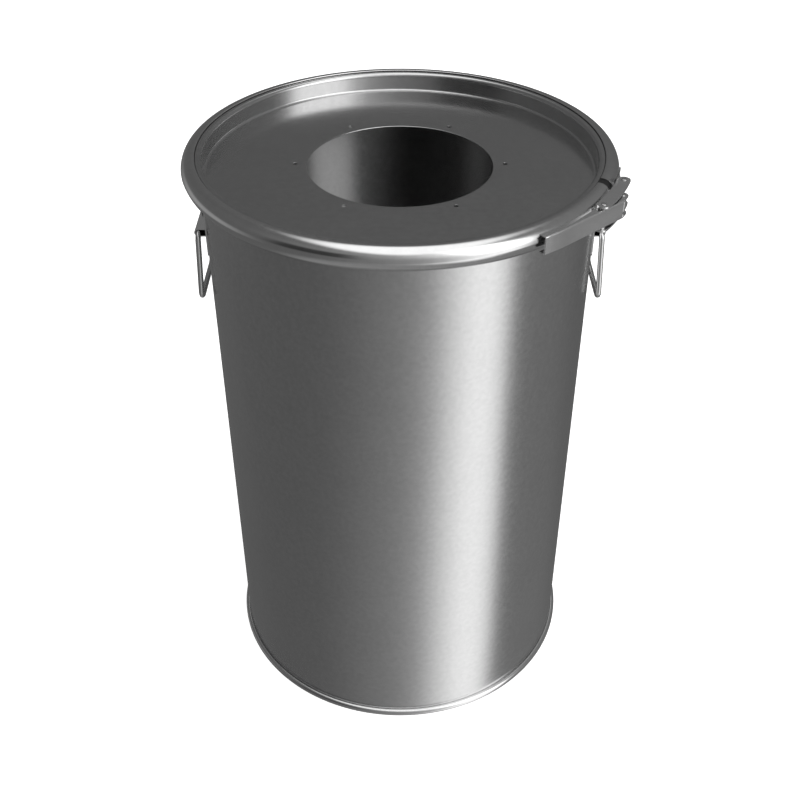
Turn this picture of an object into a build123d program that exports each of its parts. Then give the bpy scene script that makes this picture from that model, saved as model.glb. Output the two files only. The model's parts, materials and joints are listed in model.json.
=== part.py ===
"""Open-head stainless steel drum with a plug lid, a clamp ring with a lever closure and two bail handles.

Millimetres. +Z is up and the origin is on the drum's axis, at the plane it stands on.
+X points to the right-hand bail handle. The lever closure is between +X and -Y.
"""
import os
from math import asin, atan2, cos, degrees, radians, sin, sqrt, tan

from build123d import *

os.makedirs("parts", exist_ok=True)

# ---- Driving dimensions: drum ----
body_radius = 225.0  # outside of the straight body
body_sheet = 1.0
rim_height = 707.2  # height of the clamp ring's arc centre
bead_radius = 9.0  # outside of the rolled bead at the mouth
fit_gap = 0.3  # between parts that lie against each other but aren't joined

# ---- Driving dimensions: base and chime ----
chime_width = 10.0
chime_height = 10.0
chime_round = 4.2
chime_wall = 5.5  # from the body's outside to the chime's outside
base_sheet = 1.0
base_panel_height = 15.0
base_corner = 4.0
sealant_height = 1.0
chime_floor = 1.5  # metal under the sealant

# ---- Driving dimensions: lid ----
lid_sheet = 1.2
lid_wall_gap = 1.6  # from the lid's wall to the inside of the body
lid_panel_depth = 21.7  # from the lid's rim down to its panel
lid_corner = 3.0
lid_shoulder = 4.5
opening_radius = 105.5
bolt_circle = 119.5
bolt_hole_radius = 2.5
bolt_count = 6
gasket_inset = 6.5  # from the bead's centre to the gasket's inner edge
gasket_outset = 5.5

# ---- Driving dimensions: clamp ring ----
ring_sheet = 1.5
rim_room = 4.3  # from the bead's outside to the clamp ring's outside: lid, gasket and ring
ring_offset = 1.3  # the ring's arc centre is this much nearer the axis than the bead's
ring_lip_angle = 98.6
ring_hook_angle = 60.0
ring_hook_length = 7.4
ring_gap = 12.0
closure_azimuth = -23.2  # middle of the ring's gap, degrees from +X

# ---- Driving dimensions: closure, along the ring (mm from the gap's middle) and out from it ----
catch_pin_along, catch_pin_out = 12.4, 8.4
link_pin_along, link_pin_out = -50.0, 8.4
fulcrum_along, fulcrum_out = -14.5, 14.9
lever_tip_along = -137.7
lever_bend_along = -106.0
lever_end_along = -26.0
lever_web_out = 6.7
lever_sheet = 1.6
lever_height = 21.0
lever_drop = 12.0  # from the ring's centre plane down to the lever's underside
lever_notch_start = -63.0
lever_notch_out = 2.4
lever_toe = 4.0  # the neck's foot on the flange, past the web's end
ring_clear = 20.0  # depth of the notch inside the ring's outside
lever_lobe = 5.8
pin_radius = 1.9
pin_head_radius = 2.9
pin_head_height = 0.9
pin_head_round = 0.72
running_gap = 0.06  # radial clearance of a pin that turns
link_plate = 2.0
link_lift = 1.8  # between the lever's flange and the link's plate
link_half_width = 7.1
link_web_inner = 5.7  # about the pin that joins link and lever
link_web_sheet = 1.5
link_web_sweep = 82.5  # how far the link turns against the lever
link_web_start, link_web_end = -5.0, 45.0  # degrees about that pin, from straight inward
web_clear = 6.0  # degrees that the lever's cut-out runs past the web at both limits
washer_radius = 4.2
strap_sheet = 1.9
strap_gap = 0.05  # between a strap and the ring, which only its welds bridge
strap_height = 15.0
strap_lower = 1.0  # the strap's middle below the ring's centre plane
fulcrum_strap_end = -38.0
eye_wall = 2.2
eye_arm = 6.0  # along the ring, from where the strap turns outward to the fulcrum
catch_strap_end = 34.0
catch_lug_gap = 1.7  # the pin's room to pass over centre and to lift out
catch_lug_width = 2.2
catch_lug_reach = 9.5
ear_start, ear_end = 17.6, 25.6
ear_top = 19.8  # above the ring's centre plane
ear_hole_radius = 1.6
ear_hole_inset = 4.0  # from the ear's top
weld_leg = 2.4

# ---- Driving dimensions: bail handles and their brackets ----
wire_radius = 3.25
handle_drop = 76.2  # from the ring's centre plane down to the bail's pivot
pivot_out = 5.2  # from the body's outside to the bail's pivot
bail_half_width = 46.5
bail_length = 84.8
bail_lean = 2.9  # degrees outward at rest
bail_top_bend = 7.0
bail_bottom_bend = 11.0
bail_butt_gap = 1.0
bracket_sheet = 1.3
wire_gap = 0.45  # between the wire and the hood
mouth_gap = 0.35  # between the wire and the mouths in the hood's ends
hood_half_length = 41.0
hood_rise = 27.0
hood_root = 8.0  # the hood's section starts this far inside the body's outside, where it is cut off
hood_brow = 0.5  # and its slope meets the body this far inside it
tunnel_rise = 3.7
flange_half_length = 52.0
flange_below = 27.0
flange_above = 40.0
flange_corner = 8.0
weld_spot_radius = 3.0
weld_spot_height = 0.4
weld_spot_inset = 6.0
weld_spot_lower_lift = 4.0  # the lower row stands this much further in
lower_row_share = 0.6  # of the upper row's reach

# ---- Driving dimensions: body seam ----
seam_azimuth = 145.0  # degrees from +X, at the back
seam_width = 3.0
seam_height = 0.3
seam_clear = 1.0  # from the chime up to the seam

# ---- Sizes that follow ----
body_inner = body_radius - body_sheet
bead_rho = body_inner + bead_radius
ring_arc = bead_radius + rim_room  # outside radius of the C profile
ring_rho = bead_rho - ring_offset
ring_inner = ring_arc - ring_sheet
ring_outer = ring_rho + ring_arc
hook_sin, hook_cos = sin(radians(ring_hook_angle)), cos(radians(ring_hook_angle))
bead_height = rim_height + (bead_radius + fit_gap - ring_inner + (bead_rho - ring_rho) * hook_cos) / hook_sin
mouth_joint = bead_height - bead_radius
lid_curl = ring_inner - fit_gap
lid_top = rim_height + lid_curl
lid_panel_top = lid_top - lid_panel_depth
lid_wall_inner = body_inner - lid_wall_gap - lid_sheet
lever_bottom = rim_height - lever_drop
lever_top = lever_bottom + lever_height
link_top = lever_top + link_lift + link_plate
link_bottom = lever_bottom - link_lift - link_plate
strap_bottom = rim_height - strap_height / 2 - strap_lower
strap_inner = ring_outer + strap_gap
strap_outer = strap_inner + strap_sheet
pivot_x = body_radius + pivot_out
pivot_z = rim_height - handle_drop


def save(node, *shapes):
    """Write one node: a single solid, or several separate ones as a compound."""
    solids = [solid for shape in shapes for solid in shape.solids()]
    export_step(solids[0] if len(solids) == 1 else Compound(children=solids), f"parts/{node}.step")


def rectangle(low, high):
    """Face with its sides along the axes, given by two opposite corners."""
    width, height = high[0] - low[0], high[1] - low[1]
    return Pos((low[0] + high[0]) / 2, (low[1] + high[1]) / 2) * Rectangle(width, height)


def arc_band(centre, outer, inner, start, end):
    """Face between two arcs about one centre, from start to end degrees: a bent sheet in section."""

    def at(radius, angle):
        return (centre[0] + radius * cos(radians(angle)), centre[1] + radius * sin(radians(angle)))

    middle = (start + end) / 2
    outline = [
        ThreePointArc(at(outer, start), at(outer, middle), at(outer, end)),
        Line(at(outer, end), at(inner, end)),
        ThreePointArc(at(inner, end), at(inner, middle), at(inner, start)),
        Line(at(inner, start), at(outer, start)),
    ]
    return make_face(outline)


def spun(section, start=0.0, turn=360.0):
    """Turn a section, drawn as radius and height, about the drum's axis, from azimuth start."""
    return Rot(0, 0, start) * revolve(Plane.XZ * section, axis=Axis.Z, revolution_arc=turn)


def azimuth(along):
    """Azimuth in degrees of a place given in mm along the ring from the middle of its gap."""
    return closure_azimuth + degrees(along / ring_outer)


def place(along, out):
    """Plan position of a place along the ring and out from its outside."""
    angle = radians(azimuth(along))
    return Vector((ring_outer + out) * cos(angle), (ring_outer + out) * sin(angle))


def ring_band(outer, inner, start, end):
    """Plan band between two radii of the drum, from one place along the ring to another."""
    return arc_band((0, 0), outer, inner, azimuth(start), azimuth(end))


def bar(start, end, width):
    """Plan strip of the given width between two points."""
    run = end - start
    angle = degrees(atan2(run.Y, run.X))
    middle = (start + end) / 2
    return Pos(middle.X, middle.Y) * Rot(0, 0, angle) * Rectangle(run.length, width)


def raised(face, bottom, top):
    """Extrude a plan face between two heights."""
    return Pos(0, 0, bottom) * extrude(face, amount=top - bottom)


def disc(centre, radius):
    """Plan disc."""
    return Pos(centre.X, centre.Y) * Circle(radius)


def joined(shapes):
    """Union of a list of faces or solids."""
    total = shapes[0]
    for shape in shapes[1:]:
        total += shape
    return total


# ---- Body: straight wall, and a mouth ring rolled outward into a bead that is left open by a slit ----
def make_drum_shell():
    return spun(rectangle((body_inner, chime_floor + sealant_height), (body_radius, mouth_joint)))


def make_mouth_bead():
    neck = rectangle((body_inner, mouth_joint), (body_radius, bead_height))
    roll = arc_band((bead_rho, bead_height), bead_radius, bead_radius - body_sheet, -170, 180)
    return spun(neck + roll)


def make_side_seam():
    """Butt weld down the back of the body."""
    half_turn = degrees(seam_width / 2 / body_radius)
    bead = arc_band((0, 0), body_radius + seam_height, body_radius, seam_azimuth - half_turn, seam_azimuth + half_turn)
    bottom, top = chime_height + seam_clear, mouth_joint
    return raised(bead, bottom, top)


# ---- Base: pan with its flange down inside the body, both edges held in the rolled chime ----
def make_drum_base():
    outer = body_inner
    corner = (outer - base_corner, base_panel_height - base_corner)
    panel = rectangle((0, base_panel_height - base_sheet), (corner[0], base_panel_height))
    turn = arc_band(corner, base_corner, base_corner - base_sheet, 0, 90)
    flange = rectangle((outer - base_sheet, chime_floor + sealant_height), (outer, corner[1]))
    return spun(panel + turn + flange)


def make_base_chime():
    outer = body_radius + chime_wall
    hoop = Pos(outer - chime_width / 2, chime_height / 2) * RectangleRounded(chime_width, chime_height, chime_round)
    slot = rectangle((body_inner - base_sheet, chime_floor), (body_radius, chime_height + seam_clear))
    return spun(hoop - slot)


def make_chime_sealant():
    low = (body_inner - base_sheet, chime_floor)
    return spun(rectangle(low, (body_radius, chime_floor + sealant_height)))


# ---- Lid: recessed panel, wall, shoulder and rim that curls over the gasket and the bead ----
def make_lid():
    wall_outer = lid_wall_inner + lid_sheet
    corner = (lid_wall_inner - lid_corner, lid_panel_top + lid_corner)
    shoulder = (lid_wall_inner + lid_shoulder, lid_top - lid_shoulder)
    section = joined([
        rectangle((opening_radius, lid_panel_top - lid_sheet), (corner[0], lid_panel_top)),
        arc_band(corner, lid_corner + lid_sheet, lid_corner, 270, 360),
        rectangle((lid_wall_inner, corner[1]), (wall_outer, shoulder[1])),
        arc_band(shoulder, lid_shoulder, lid_shoulder - lid_sheet, 90, 180),
        rectangle((shoulder[0], lid_top - lid_sheet), (ring_rho, lid_top)),
        arc_band((ring_rho, rim_height), lid_curl, lid_curl - lid_sheet, 5, 90),
    ])
    holes = PolarLocations(bolt_circle, bolt_count) * Cylinder(bolt_hole_radius, 4 * lid_sheet)
    return spun(section) - Pos(0, 0, lid_panel_top) * Compound(children=list(holes))


def make_lid_gasket():
    under_lid = Pos(ring_rho, rim_height) * Circle(lid_curl - lid_sheet)
    over_bead = Pos(bead_rho, bead_height) * Circle(bead_radius)
    low = (bead_rho - gasket_inset, bead_height)
    window = rectangle(low, (bead_rho + gasket_outset, lid_top))
    return spun((under_lid - over_bead) & window)


# ---- Clamp ring: C profile that hooks under the bead, open at its gap ----
def make_clamp_ring():
    def at(radius, run):
        start = Vector(ring_rho + radius * hook_cos, rim_height - radius * hook_sin)
        return start + Vector(-hook_sin, -hook_cos) * run

    hook = make_face(Polyline(
        at(ring_arc, 0), at(ring_arc, ring_hook_length),
        at(ring_inner, ring_hook_length), at(ring_inner, 0), close=True,
    ))
    arc = arc_band((ring_rho, rim_height), ring_arc, ring_inner, -ring_hook_angle, ring_lip_angle)
    half_gap = degrees(ring_gap / 2 / ring_outer)
    return spun(arc + hook, closure_azimuth + half_gap, 360 - 2 * half_gap)


def make_strap_welds(start, end):
    """Fillet welds above and below a strap, in the wedge between it and the ring."""
    def leg(side):
        edge = strap_bottom + strap_height if side > 0 else strap_bottom
        low, high = sorted((edge, edge - side * weld_leg))
        wedge = rectangle((ring_rho, low), (strap_inner, high))
        return wedge - Pos(ring_rho, rim_height) * Circle(ring_arc)

    turn = azimuth(end) - azimuth(start)
    return [spun(leg(side), azimuth(start), turn) for side in (-1, 1)]


# ---- Closure: fulcrum bracket, catch, lever, link, and the pins that join them ----
fulcrum = place(fulcrum_along, fulcrum_out)
link_pin = place(link_pin_along, link_pin_out)
catch_pin = place(catch_pin_along, catch_pin_out)
strap_top = strap_bottom + strap_height


def make_fulcrum_bracket():
    """Strap whose end turns outward and curls round the fulcrum pin."""
    strap_middle = (strap_inner + strap_outer) / 2 - ring_outer
    root_along = fulcrum_along - eye_arm
    eye = disc(fulcrum, pin_radius + eye_wall)
    strap = ring_band(strap_outer, strap_inner, fulcrum_strap_end, root_along)
    root = place(root_along, strap_middle)
    arm = bar(root, fulcrum, strap_sheet)
    plan = strap + disc(root, strap_sheet / 2) + arm + eye - disc(fulcrum, pin_radius)
    return raised(plan, strap_bottom, strap_top)


def make_catch_bracket():
    """Strap on the ring's other end, with a lug that the link's cross pin bears on and a seal ear."""
    lug_end = catch_pin_along - pin_radius - catch_lug_gap
    lug_start = lug_end - catch_lug_width
    strap = ring_band(strap_outer, strap_inner, lug_start, catch_strap_end)
    lug = ring_band(ring_outer + catch_lug_reach, strap_inner, lug_start, lug_end)
    plate = raised(strap + lug, strap_bottom, strap_top)
    ear = raised(ring_band(strap_outer, strap_inner, ear_start, ear_end), strap_top, rim_height + ear_top)
    hole_along = (ear_start + ear_end) / 2
    centre = place(hole_along, 0)
    drill = Rot(0, 0, azimuth(hole_along)) * Rot(0, 90, 0) * Cylinder(ear_hole_radius, 6 * strap_sheet)
    return plate + ear - Pos(centre.X, centre.Y, rim_height + ear_top - ear_hole_inset) * drill


def lever_plan(inset):
    """Plan of the lever inside its web: an arc from the tip, then a tangent line to the web's end."""
    radius = ring_outer + lever_web_out - inset
    inner = ring_rho + sqrt(ring_arc**2 - (lever_top - lever_sheet - rim_height) ** 2) + 2 * fit_gap
    tip, bend, end = (radians(azimuth(run)) for run in (lever_tip_along, lever_bend_along, lever_end_along))
    tangent = Vector(-sin(bend), cos(bend))
    corner = Vector(radius * cos(bend), radius * sin(bend))
    web_end = corner + tangent * (radius * tan(end - bend))

    def at(distance, angle):
        return (distance * cos(angle), distance * sin(angle))

    return make_face([
        ThreePointArc(at(radius, tip), at(radius, (tip + bend) / 2), at(radius, bend)),
        Line(at(radius, bend), web_end),
        Line(web_end, at(inner, end)),
        ThreePointArc(at(inner, end), at(inner, (end + tip) / 2), at(inner, tip)),
        Line(at(inner, tip), at(radius, tip)),
    ]), web_end


def make_closure_lever():
    """Channel with its web outside; two lobes on its flanges turn on the fulcrum pin."""
    outline, web_end = lever_plan(0.0)
    hollow, _ = lever_plan(lever_sheet)
    web = outline - hollow
    toe = place(lever_end_along - lever_toe, lever_notch_out)
    neck = make_hull([*disc(fulcrum, lever_lobe).edges(), Line(web_end, toe)])
    inward = azimuth(link_pin_along) + 180
    clear = arc_band(
        (link_pin.X, link_pin.Y), link_web_inner + link_web_sheet + 2 * fit_gap, link_web_inner - 2 * fit_gap,
        inward + link_web_start - link_web_sweep - web_clear, inward + link_web_end + web_clear,
    )
    relief = ring_band(ring_outer + lever_notch_out, ring_outer - ring_clear, lever_notch_start, fulcrum_along)
    flange = outline + neck - relief - clear
    flange -= disc(fulcrum, pin_radius + running_gap)
    flange -= disc(link_pin, pin_radius)
    lower = raised(flange, lever_bottom, lever_bottom + lever_sheet)
    upper = raised(flange, lever_top - lever_sheet, lever_top)
    return raised(web, lever_bottom, lever_top) + lower + upper


def make_closure_link():
    """Yoke: an upper and a lower plate joined by a bent web on the inner side of the lever pin."""
    middle = (link_pin_out + catch_pin_out) / 2
    plate = ring_band(
        ring_outer + middle + link_half_width, ring_outer + middle - link_half_width,
        link_pin_along, catch_pin_along,
    )
    plate += disc(place(link_pin_along, middle), link_half_width)
    plate += disc(place(catch_pin_along, middle), link_half_width)
    plate -= disc(link_pin, pin_radius + running_gap)
    plate -= disc(catch_pin, pin_radius)
    inward = azimuth(link_pin_along) + 180
    web_outer = link_web_inner + link_web_sheet
    web = arc_band((link_pin.X, link_pin.Y), web_outer, link_web_inner, inward + link_web_start, inward + link_web_end)
    return joined([
        raised(plate, link_bottom, link_bottom + link_plate),
        raised(web, link_bottom, link_top),
        raised(plate, link_top - link_plate, link_top),
    ])


def make_pin(centre, bottom, top):
    """Pin with a low domed head at each end."""
    shank = Pos(centre.X, centre.Y, (bottom + top) / 2) * Cylinder(pin_radius, top - bottom)
    head = Cylinder(pin_head_radius, pin_head_height)
    head = fillet(head.faces().sort_by(Axis.Z)[-1].edges(), pin_head_round)
    upper = Pos(centre.X, centre.Y, top + pin_head_height / 2) * head
    lower = Pos(centre.X, centre.Y, bottom - pin_head_height / 2) * Rot(180, 0, 0) * head
    return shank + upper + lower


def make_link_washers():
    """Spacing washers between the lever's flanges and the link's plates."""
    ring = disc(link_pin, washer_radius) - disc(link_pin, pin_radius + running_gap)
    thickness = link_lift - 2 * running_gap
    return [
        raised(ring, lever_top + running_gap, lever_top + running_gap + thickness),
        raised(ring, lever_bottom - running_gap - thickness, lever_bottom - running_gap),
    ]


# ---- Bail handles: pressed bracket with a hood that the bail's upper bar turns in ----
def hood_section(offset):
    """Section of the hood, or of its hollow: a slope from the body to a round about the pivot."""
    rise = hood_rise - offset
    foot = offset - (wire_radius + wire_gap + bracket_sheet)
    root_x = body_radius - hood_root
    round_edge = (Pos(pivot_x, pivot_z) * Circle(-foot)).edges()
    return make_hull([*round_edge, Line((root_x, pivot_z + foot), (body_radius - hood_brow, pivot_z + rise))])


def along_y(section, half_length):
    """Extrude an X-Z section both ways along Y."""
    return extrude(Plane.XZ * section, amount=half_length, both=True)


def make_handle_bracket():
    hollow = hood_section(bracket_sheet)
    tunnel_radius = wire_radius + mouth_gap
    mouth_low = (body_radius - hood_root, pivot_z - tunnel_radius)
    mouth = rectangle(mouth_low, (pivot_x, pivot_z + tunnel_rise)) + Pos(pivot_x, pivot_z) * Circle(tunnel_radius)
    hood = along_y(hood_section(0.0), hood_half_length) - along_y(hollow, hood_half_length - bracket_sheet)
    hood -= along_y(mouth, hood_half_length + 1)
    flange_height = flange_below + flange_above
    outline = Plane.YZ * (
        Pos(0, pivot_z + (flange_above - flange_below) / 2)
        * RectangleRounded(2 * flange_half_length, flange_height, flange_corner)
    )
    slab = extrude(outline, amount=body_radius + bracket_sheet)
    skin = Pos(0, 0, pivot_z) * (Cylinder(body_radius + bracket_sheet, 3 * flange_height))
    flange = (slab & skin) - along_y(hollow, hood_half_length - bracket_sheet)
    core = Pos(0, 0, pivot_z) * Cylinder(body_radius, 4 * flange_height)
    return (hood + flange) - core


def make_bracket_welds():
    """Spot welds through the bracket's flange, in two rows."""
    spots = []
    radius = body_radius + bracket_sheet
    high, low = pivot_z + flange_above - weld_spot_inset, pivot_z - flange_below + weld_spot_inset + weld_spot_lower_lift
    reach = flange_half_length - weld_spot_inset
    for height, offsets in ((high, (-reach, 0, reach)), (low, (-reach * lower_row_share, 0, reach * lower_row_share))):
        for offset in offsets:
            turn = Rot(0, 0, degrees(asin(offset / radius)))
            spot = Pos(radius, 0, height) * Rot(0, 90, 0) * Cylinder(weld_spot_radius, weld_spot_height)
            spots.append(turn * Pos(weld_spot_height / 2, 0, 0) * spot)
    return spots


def make_bail():
    """Round wire bent to a rectangle, its ends butted inside the hood."""
    side, top, bottom = bail_half_width, bail_top_bend, bail_bottom_bend
    start = bail_butt_gap / 2
    path = Wire([
        Line((start, 0), (side - top, 0)),
        RadiusArc((side - top, 0), (side, -top), top),
        Line((side, -top), (side, bottom - bail_length)),
        RadiusArc((side, bottom - bail_length), (side - bottom, -bail_length), bottom),
        Line((side - bottom, -bail_length), (bottom - side, -bail_length)),
        RadiusArc((bottom - side, -bail_length), (-side, bottom - bail_length), bottom),
        Line((-side, bottom - bail_length), (-side, -top)),
        RadiusArc((-side, -top), (top - side, 0), top),
        Line((top - side, 0), (-start, 0)),
    ])
    profile = Plane(origin=(start, 0, 0), z_dir=(1, 0, 0)) * Circle(wire_radius)
    upright = Plane.YZ * sweep(profile, path=path)
    return Pos(pivot_x, 0, pivot_z) * Rot(0, -bail_lean, 0) * upright


save("drum_shell", make_drum_shell())
save("mouth_bead", make_mouth_bead())
save("side_seam_weld", make_side_seam())
save("drum_base", make_drum_base())
save("base_chime", make_base_chime())
save("chime_sealant", make_chime_sealant())
save("lid", make_lid())
save("lid_gasket", make_lid_gasket())
save("clamp_ring", make_clamp_ring())
save("fulcrum_bracket", make_fulcrum_bracket())
save("fulcrum_bracket_welds", *make_strap_welds(fulcrum_strap_end, fulcrum_along - eye_arm))
save("catch_bracket", make_catch_bracket())
save("catch_bracket_welds", *make_strap_welds(ear_end, catch_strap_end))
save("closure_lever", make_closure_lever())
save("fulcrum_pin", make_pin(fulcrum, lever_bottom, lever_top))
save("closure_link", make_closure_link())
save("link_lever_pin", make_pin(link_pin, link_bottom, link_top))
save("link_catch_pin", make_pin(catch_pin, link_bottom, link_top))
save("link_washers", *make_link_washers())
for side, flip in (("right", False), ("left", True)):
    for node, shapes in (
        ("handle_bracket", [make_handle_bracket()]),
        ("handle_bracket_welds", make_bracket_welds()),
        ("bail_handle", [make_bail()]),
    ):
        placed = [mirror(shape, about=Plane.YZ) if flip else shape for shape in shapes]
        save(f"{node}_{side}", *placed)
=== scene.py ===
"""Looks of an open-head stainless steel drum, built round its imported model.

Metres, +Z up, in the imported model's own frame. The file follows the drum as it is put together: light
and camera, body, base, lid, clamp ring, closure, and the two bail handles.
"""
import json
from math import atan2, cos, pi, radians, sin

import bmesh
import bpy
import numpy as np
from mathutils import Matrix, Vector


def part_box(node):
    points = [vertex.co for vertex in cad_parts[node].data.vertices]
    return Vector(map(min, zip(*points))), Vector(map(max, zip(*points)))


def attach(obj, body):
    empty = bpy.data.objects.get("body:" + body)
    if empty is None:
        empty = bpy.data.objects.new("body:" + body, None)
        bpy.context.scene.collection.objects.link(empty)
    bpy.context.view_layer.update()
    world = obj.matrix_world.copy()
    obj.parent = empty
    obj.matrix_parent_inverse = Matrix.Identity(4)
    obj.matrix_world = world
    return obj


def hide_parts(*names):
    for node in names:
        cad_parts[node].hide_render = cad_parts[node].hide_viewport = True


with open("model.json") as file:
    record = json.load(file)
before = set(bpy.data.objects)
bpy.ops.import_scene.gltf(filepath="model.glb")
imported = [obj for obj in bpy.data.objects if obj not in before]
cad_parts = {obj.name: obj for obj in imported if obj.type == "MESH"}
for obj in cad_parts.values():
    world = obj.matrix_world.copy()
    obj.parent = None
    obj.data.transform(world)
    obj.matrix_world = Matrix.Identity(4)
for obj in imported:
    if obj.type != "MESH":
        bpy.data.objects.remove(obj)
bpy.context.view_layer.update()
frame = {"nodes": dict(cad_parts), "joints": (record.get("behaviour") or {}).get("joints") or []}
nodes = frame["nodes"]
MM = 0.001

# ---- Camera and floor ----
# The drum stands on a pale seamless floor, seen from in front and a little above its lid. Bare metal mirrors
# the room and not this floor, which is kept out of its reflections.
scene = bpy.context.scene
scene.view_settings.view_transform = "Standard"

CAMERA_PLACE, LOOKS_DOWN, LENS, SENSOR_WIDTH = (0.0, -1.1696, 1.2425), 37.009, 50.0, 36.0
camera = bpy.data.objects.new("camera", bpy.data.cameras.new("camera"))
scene.collection.objects.link(camera)
camera.location = CAMERA_PLACE
camera.rotation_euler = (radians(90 - LOOKS_DOWN), 0.0, 0.0)
camera.data.lens = LENS
camera.data.sensor_width = SENSOR_WIDTH
scene.camera = camera


def add(tree, kind, settings=None, **links):
    """Add a node. Settings fill its properties, or its sockets by name or number; links join its sockets,
    by name or by _number, to other sockets, where a node given instead means its first output."""
    node = tree.nodes.new(kind)
    for name, value in (settings or {}).items():
        if hasattr(node, name):
            setattr(node, name, value)
        else:
            node.inputs[int(name) if name.isdigit() else name].default_value = value
    for name, source in links.items():
        key = int(name[1:]) if name.startswith("_") else name
        tree.links.new(getattr(source, "outputs", [source])[0], node.inputs[key])
    return node


FLOOR_REACH, FLOOR_DROP, FLOOR_WHITE, FLOOR_GLOW = 14.0, 0.3 * MM, 0.86, 0.86
floor_mesh = bpy.data.meshes.new("floor")
floor_corners = np.array([(-1, -1, 0), (1, -1, 0), (1, 1, 0), (-1, 1, 0)]) * FLOOR_REACH - (0, 0, FLOOR_DROP)
floor_mesh.from_pydata(floor_corners, [], [(0, 1, 2, 3)])
floor = bpy.data.objects.new("floor", floor_mesh)
scene.collection.objects.link(floor)
floor.visible_glossy = False
floor_paint = bpy.data.materials.new("white_studio_floor")
floor_paint.use_nodes = True
tree = floor_paint.node_tree
painted = tree.nodes["Principled BSDF"]
painted.inputs["Base Color"].default_value = (FLOOR_WHITE, FLOOR_WHITE, FLOOR_WHITE, 1.0)
painted.inputs["Roughness"].default_value = 0.9
painted.inputs["Emission Color"].default_value = (1.0, 1.0, 1.0, 1.0)
painted.inputs["Emission Strength"].default_value = FLOOR_GLOW
# From below the floor is clear, so that the drum's underside can be looked at.
from_below = add(tree, "ShaderNodeNewGeometry").outputs["Backfacing"]
clear = add(tree, "ShaderNodeBsdfTransparent")
one_sided = add(tree, "ShaderNodeMixShader", _0=from_below, _1=painted, _2=clear)
tree.links.new(one_sided.outputs[0], tree.nodes["Material Output"].inputs[0])
floor_mesh.materials.append(floor_paint)

# ---- Light ----
# A dim grey room with one tall soft strip light right of the camera, a round soft light overhead, and a
# dark flag at the front left. All are smooth functions of direction, so bright metal shows clean bands.
# A colour ramp holds levels up to 1, so every level is stored as a share of LIGHT_SCALE.
LIGHT_SCALE = 2.5
world = bpy.data.worlds.new("studio")
scene.world = world
world.use_nodes = True
sky = world.node_tree
sky.nodes.clear()
direction = add(sky, "ShaderNodeTexCoord").outputs["Generated"]
split = add(sky, "ShaderNodeSeparateXYZ", _0=direction)
azimuth = add(sky, "ShaderNodeMath", {"operation": "ARCTAN2"}, _0=split.outputs["Y"], _1=split.outputs["X"])
elevation = split.outputs["Z"]


def turned_from(middle):
    """Turn from an azimuth in degrees to the looked-up direction, in radians between -pi and pi."""
    offset = add(sky, "ShaderNodeMath", {"operation": "SUBTRACT", "1": radians(middle)}, _0=azimuth)
    return add(sky, "ShaderNodeMath", {"operation": "WRAP", "1": pi, "2": -pi}, _0=offset)


def window(*edges):
    """Product of smoothsteps, one for each soft edge (value, start, full): 0 at its start, 1 when full.
    Heights are the sine of the direction's elevation, and turns are in radians."""
    steps = []
    for value, start, full in edges:
        settings = {"interpolation_type": "SMOOTHSTEP", "1": start, "2": full}
        steps.append(add(sky, "ShaderNodeMapRange", settings, _0=value))
    share = steps[0]
    for step in steps[1:]:
        share = add(sky, "ShaderNodeMath", {"operation": "MULTIPLY"}, _0=share, _1=step)
    return share


def wall_window(middle, half_width, core, foot, head):
    """Window in the room's wall round an azimuth: full within the core share of its half width, in degrees,
    and between its foot and its head."""
    turn = add(sky, "ShaderNodeMath", {"operation": "ABSOLUTE"}, _0=turned_from(middle))
    sides = (turn, radians(half_width), radians(half_width * core))
    return window(sides, (elevation, *foot), (elevation, *head))


def laid_over(base, level, share):
    """The room's colour with a grey level laid over it: base * (1 - share) + level * share."""
    grey = (level / LIGHT_SCALE,) * 3 + (1.0,)
    return add(sky, "ShaderNodeMix", {"data_type": "RGBA", "7": grey}, Factor=share, _6=base).outputs[2]


# The strip: degrees round from its middle, and how bright the room is there. It is wider high up and low
# down by these shares, between these heights, and has a brighter core above eye level.
STRIP_AZIMUTH = -40.0
ROOM = (
    (-180, 0.14), (-125, 0.125), (-95, 0.135), (-80, 0.165), (-66, 0.21), (-50, 0.27), (-38, 0.36),
    (-29, 0.52), (-21, 0.86), (-14, 1.08), (-6, 1.38), (6, 1.42), (12, 1.16), (16, 0.86), (21, 0.28),
    (30, 0.22), (60, 0.20), (82, 0.14), (120, 0.11), (180, 0.14),
)
WIDER_ABOVE, WIDER_ABOVE_HEIGHTS = 0.35, (-0.05, 0.65)
WIDER_BELOW, WIDER_BELOW_HEIGHTS = 0.16, (-0.52, -0.78)
CORE_LEVEL, CORE_START, CORE_FULL, CORE_HEIGHTS = 2.1, 19.0, 11.0, (-0.1, 0.15)
above = add(sky, "ShaderNodeMath", {"operation": "MULTIPLY_ADD", "1": -WIDER_ABOVE, "2": 1.0},
            _0=window((elevation, *WIDER_ABOVE_HEIGHTS)))
below = add(sky, "ShaderNodeMath", {"operation": "MULTIPLY_ADD", "1": -WIDER_BELOW, "2": 1.0},
            _0=window((elevation, *WIDER_BELOW_HEIGHTS)))
narrowing = add(sky, "ShaderNodeMath", {"operation": "MULTIPLY"}, _0=above, _1=below)
from_strip = add(sky, "ShaderNodeMath", {"operation": "MULTIPLY"},
                 _0=turned_from(STRIP_AZIMUTH), _1=narrowing)
place = add(sky, "ShaderNodeMath", {"operation": "MULTIPLY_ADD", "1": 0.5 / pi, "2": 0.5}, _0=from_strip)
room = add(sky, "ShaderNodeValToRGB", _0=place)
room.color_ramp.interpolation = "B_SPLINE"
stops = room.color_ramp.elements
while len(stops) < len(ROOM):
    stops.new(0.5)
for stop, (turn, level) in zip(stops, ROOM):
    stop.position = turn / 360 + 0.5
    stop.color = (level / LIGHT_SCALE,) * 3 + (1.0,)
strip_turn = add(sky, "ShaderNodeMath", {"operation": "ABSOLUTE"}, _0=from_strip)
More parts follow.
